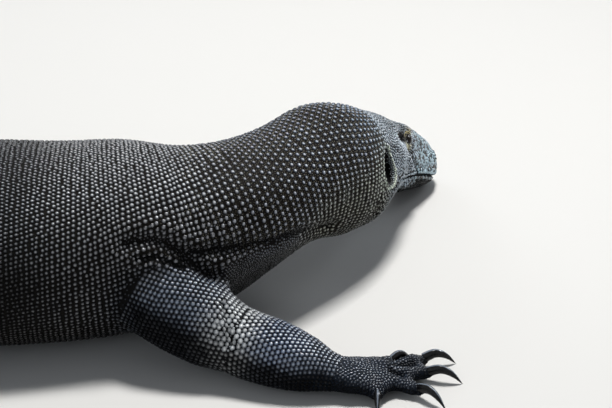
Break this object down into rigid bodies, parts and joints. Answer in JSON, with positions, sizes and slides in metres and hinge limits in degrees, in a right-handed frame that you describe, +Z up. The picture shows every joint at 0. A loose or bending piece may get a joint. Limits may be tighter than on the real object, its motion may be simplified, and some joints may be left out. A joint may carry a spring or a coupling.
{
  "type": "komodo dragon",
  "caption": "Life-size komodo dragon lying on its belly, head turned to its left with the chin down, one foreleg stretched forward, long tail behind.",
  "frame": {"origin": "on the floor, under the middle of the trunk, on the flat of the belly", "axes": "+X forward along the trunk, +Y to the animal's left, +Z up"},
  "size_m": [2.2811, 0.7896, 0.2342],
  "materials": {
    "hide": "dark grey-brown beaded scales over brown skin",
    "head_hide": "grey-green small scales, paler on the snout",
    "claw": "glossy dark horn",
    "eye": "wet dark brown"
  },
  "bodies": {
    "root": {"cranium": "head_hide", "lower_jaw": "head_hide", "eye_right": "eye", "eye_left": "eye", "neck": "hide", "chest": "hide", "belly": "hide", "pelvis": "hide", "tail_base": "hide", "tail_middle": "hide", "tail_tip": "hide", "upper_arm_right": "hide", "forearm_right": "hide", "hand_right": "hide", "upper_arm_left": "hide", "forearm_left": "hide", "hand_left": "hide", "thigh_right": "hide", "shank_right": "hide", "foot_right": "hide", "thigh_left": "hide", "shank_left": "hide", "foot_left": "hide", "claw_fore_right_1": "claw", "claw_fore_right_2": "claw", "claw_fore_right_3": "claw", "claw_fore_right_4": "claw", "claw_fore_right_5": "claw", "claw_fore_left_1": "claw", "claw_fore_left_2": "claw", "claw_fore_left_3": "claw", "claw_fore_left_4": "claw", "claw_fore_left_5": "claw", "claw_hind_right_1": "claw", "claw_hind_right_2": "claw", "claw_hind_right_3": "claw", "claw_hind_right_4": "claw", "claw_hind_right_5": "claw", "claw_hind_left_1": "claw", "claw_hind_left_2": "claw", "claw_hind_left_3": "claw", "claw_hind_left_4": "claw", "claw_hind_left_5": "claw"}
  },
  "joints": []
}
